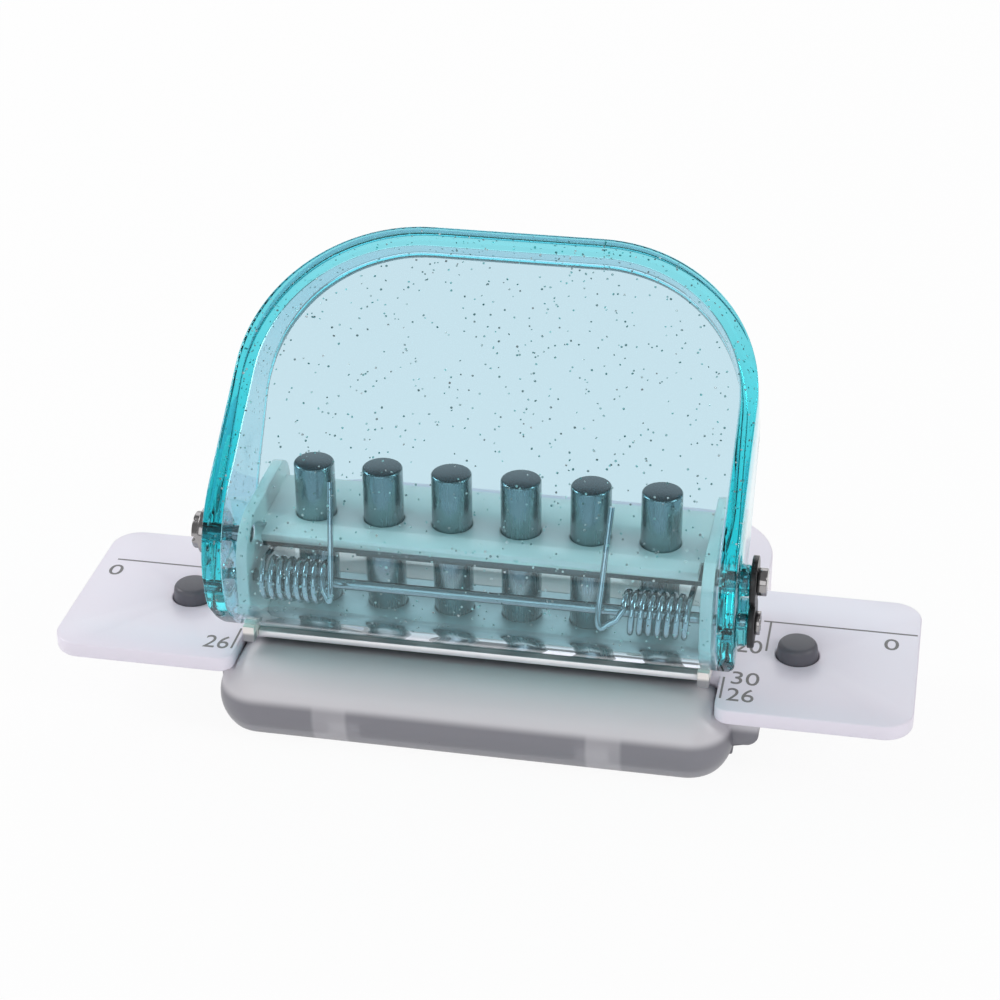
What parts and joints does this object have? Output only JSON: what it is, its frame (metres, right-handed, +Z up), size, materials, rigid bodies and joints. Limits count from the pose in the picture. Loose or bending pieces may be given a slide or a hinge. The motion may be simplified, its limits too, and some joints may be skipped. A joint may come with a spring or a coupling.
{
  "type": "six-hole punch",
  "caption": "Small desk punch for loose-leaf pages: a clear tinted lever pressed down over a row of steel pins, on a white deck with two side gauges and a chip drawer.",
  "frame": {"origin": "on the table under the middle of the pin row", "axes": "+X to the right along the pin row, +Y to the back where the lever's top goes, +Z up; paper goes in from -Y"},
  "size_m": [0.118, 0.054, 0.06],
  "materials": {
    "deck_plastic": "smooth white moulding with a faint cool tint",
    "cover_plastic": "fine matt moulding",
    "drawer_plastic": "cloudy see-through grey",
    "lever_acrylic": "clear teal with fine glitter in it",
    "peg_plastic": "satin grey",
    "plate_steel": "ground sheet steel",
    "pin_steel": "ground and polished",
    "carrier_steel": "dark oiled sheet steel",
    "bright_steel": "bright drawn wire and rod",
    "dark_nickel": "dark nickel plate",
    "link_black": "black, half matt"
  },
  "bodies": {
    "base": {"base_deck": "deck_plastic", "base_floor": "cover_plastic", "base_screws": "dark_nickel", "die_plate": "carrier_steel", "stripper_plate": "plate_steel", "punch_housing": "deck_plastic", "housing_screws": "dark_nickel", "peg_cap_left": "cover_plastic", "peg_cap_right": "cover_plastic", "peg_spring_left": "bright_steel", "peg_spring_right": "bright_steel", "torsion_spring_left": "bright_steel", "torsion_spring_right": "bright_steel"},
    "lever": {"lever": "lever_acrylic", "hinge_rod": "bright_steel", "rod_clip_left": "dark_nickel", "rod_clip_right": "dark_nickel", "stop_stud_left": "dark_nickel", "stop_stud_right": "dark_nickel", "link_plate": "link_black"},
    "punch": {"carrier_plate": "carrier_steel", "pin_clips": "bright_steel", "punch_pin_1": "pin_steel", "punch_pin_2": "pin_steel", "punch_pin_3": "pin_steel", "punch_pin_4": "pin_steel", "punch_pin_5": "pin_steel", "punch_pin_6": "pin_steel"},
    "peg_left": {"peg_left": "peg_plastic"},
    "peg_right": {"peg_right": "peg_plastic"},
    "drawer": {"chip_drawer": "drawer_plastic"}
  },
  "joints": [
    {"name": "lever_hinge", "type": "hinge", "parent": "base", "child": "lever", "pos_m": [0, -0.0086, 0.021], "axis": [-1, 0, 0], "range_deg": [0, 46], "stiffness_Nm_per_rad": 0.1, "springref_deg": -28.65, "deforming": ["torsion_spring_left", "torsion_spring_right"]},
    {"name": "punch_slide", "type": "slide", "parent": "base", "child": "punch", "axis": [0, 0, -1], "range_m": [0, 0.0037]},
    {"name": "peg_left_slide", "type": "slide", "parent": "base", "child": "peg_left", "axis": [0, 0, -1], "range_m": [0, 0.002], "stiffness_N_per_m": 250, "springref_m": -0.002, "deforming": ["peg_spring_left"]},
    {"name": "peg_right_slide", "type": "slide", "parent": "base", "child": "peg_right", "axis": [0, 0, -1], "range_m": [0, 0.002], "stiffness_N_per_m": 250, "springref_m": -0.002, "deforming": ["peg_spring_right"]},
    {"name": "drawer_slide", "type": "slide", "parent": "base", "child": "drawer", "axis": [0, -1, 0], "range_m": [0, 0.03]}
  ],
  "couplings": [
    {"joint": "punch_slide", "follows": "lever_hinge", "m_per_rad": 0.00448}
  ]
}
